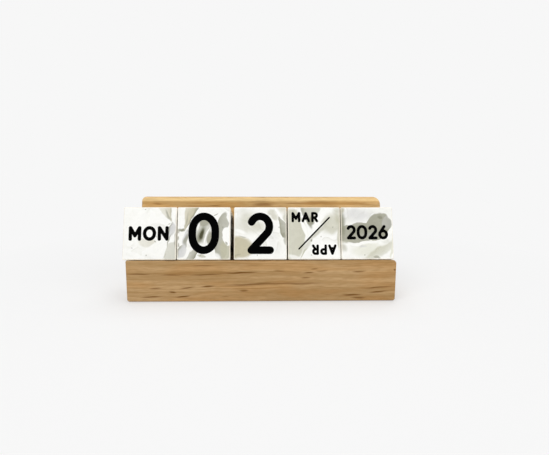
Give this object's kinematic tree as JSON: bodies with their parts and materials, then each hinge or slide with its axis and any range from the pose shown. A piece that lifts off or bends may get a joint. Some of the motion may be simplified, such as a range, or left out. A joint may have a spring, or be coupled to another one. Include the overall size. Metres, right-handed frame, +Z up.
{
  "type": "block calendar with drawer",
  "caption": "Perpetual block calendar: marbled cubes stand on a sloping wooden seat against a leaning rest, over a shallow full-width drawer that slides out to the front.",
  "frame": {"origin": "middle of the case's underside, at desk level", "axes": "+X along the row of cubes to the user's right, +Y away from the user, +Z up"},
  "size_m": [0.2067, 0.063, 0.0747],
  "materials": {
    "case_wood": "oiled hardwood, straight grain along the row",
    "rest_wood": "oiled hardwood, a little yellower",
    "front_wood": "oiled hardwood with dark streaks along the row",
    "drawer_box_wood": "plain sanded hardwood",
    "drawer_ply": "thin sanded plywood",
    "dowel_wood": "plain",
    "screw_steel": "zinc plated",
    "marbled_resin": "polished cast resin, white with grey-olive swirls",
    "print_ink": "thick black screen print on the cubes"
  },
  "bodies": {
    "case": {"base_board": "case_wood", "left_cheek": "case_wood", "right_cheek": "case_wood", "rear_wall": "case_wood", "rear_ledge": "case_wood", "seat_board": "case_wood", "back_rest": "rest_wood", "rest_dowels": "dowel_wood"},
    "drawer": {"drawer_bottom": "drawer_ply", "drawer_inner_front": "drawer_box_wood", "drawer_left_side": "drawer_box_wood", "drawer_right_side": "drawer_box_wood", "drawer_back": "drawer_box_wood", "drawer_front": "front_wood", "drawer_screws": "screw_steel"},
    "weekday": {"weekday_cube": "marbled_resin"},
    "tens": {"tens_cube": "marbled_resin"},
    "units": {"units_cube": "marbled_resin"},
    "month": {"month_cube": "marbled_resin"},
    "year": {"year_cube": "marbled_resin"}
  },
  "joints": [
    {"name": "drawer_slide", "type": "slide", "parent": "case", "child": "drawer", "axis": [0, -1, 0], "range_m": [0, 0.04]},
    {"name": "weekday_lift", "type": "slide", "parent": "case", "child": "weekday", "axis": [0, 0.2924, 0.9563], "range_m": [0, 0.06]},
    {"name": "tens_lift", "type": "slide", "parent": "case", "child": "tens", "axis": [0, 0.2924, 0.9563], "range_m": [0, 0.06]},
    {"name": "units_lift", "type": "slide", "parent": "case", "child": "units", "axis": [0, 0.2924, 0.9563], "range_m": [0, 0.06]},
    {"name": "month_lift", "type": "slide", "parent": "case", "child": "month", "axis": [0, 0.2924, 0.9563], "range_m": [0, 0.06]},
    {"name": "year_lift", "type": "slide", "parent": "case", "child": "year", "axis": [0, 0.2924, 0.9563], "range_m": [0, 0.06]}
  ]
}
